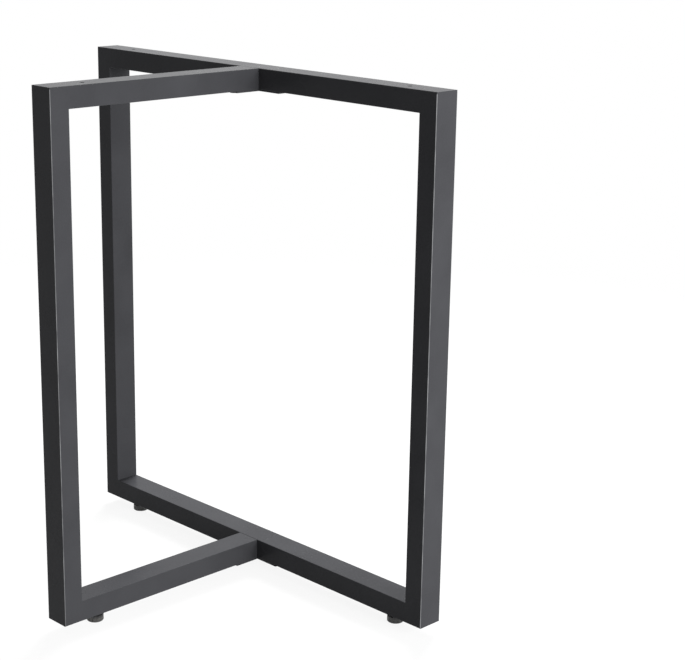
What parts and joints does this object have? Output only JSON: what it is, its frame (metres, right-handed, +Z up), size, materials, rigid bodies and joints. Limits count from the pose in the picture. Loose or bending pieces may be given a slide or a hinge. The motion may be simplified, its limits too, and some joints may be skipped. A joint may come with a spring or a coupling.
{
  "type": "table base",
  "caption": "Free-standing black steel table base, T-shaped in plan: a closed tube frame with an open-sided arm frame bolted to its middle, standing on screw-in levelling feet.",
  "frame": {"origin": "on the floor under the middle of the base's bounding box", "axes": "+Z is up, X runs along the closed frame, and the arm frame reaches from it towards -Y"},
  "size_m": [0.72, 0.4, 0.766],
  "materials": {
    "powder_coat": "satin charcoal-black powder coat with a fine texture",
    "black_steel": "black-oxide steel",
    "zinc_steel": "bright zinc plate",
    "foot_plastic": "moulded black plastic, slightly glossy"
  },
  "bodies": {
    "frame": {"left_upright": "powder_coat", "right_upright": "powder_coat", "top_rail": "powder_coat", "bottom_rail": "powder_coat", "arm_upright": "powder_coat", "top_arm": "powder_coat", "bottom_arm": "powder_coat", "top_joint_plate": "powder_coat", "bottom_joint_plate": "powder_coat", "top_plate_screws": "black_steel", "bottom_plate_screws": "black_steel", "top_plate_nuts": "zinc_steel", "bottom_plate_nuts": "zinc_steel", "left_foot_nut": "zinc_steel", "right_foot_nut": "zinc_steel", "arm_foot_nut": "zinc_steel"},
    "left_foot": {"left_foot_base": "foot_plastic", "left_foot_stud": "zinc_steel"},
    "right_foot": {"right_foot_base": "foot_plastic", "right_foot_stud": "zinc_steel"},
    "arm_foot": {"arm_foot_base": "foot_plastic", "arm_foot_stud": "zinc_steel"}
  },
  "joints": [
    {"name": "left_foot_screw", "type": "slide", "parent": "frame", "child": "left_foot", "axis": [0, 0, -1], "range_m": [0, 0.012]},
    {"name": "right_foot_screw", "type": "slide", "parent": "frame", "child": "right_foot", "axis": [0, 0, -1], "range_m": [0, 0.012]},
    {"name": "arm_foot_screw", "type": "slide", "parent": "frame", "child": "arm_foot", "axis": [0, 0, -1], "range_m": [0, 0.012]}
  ]
}
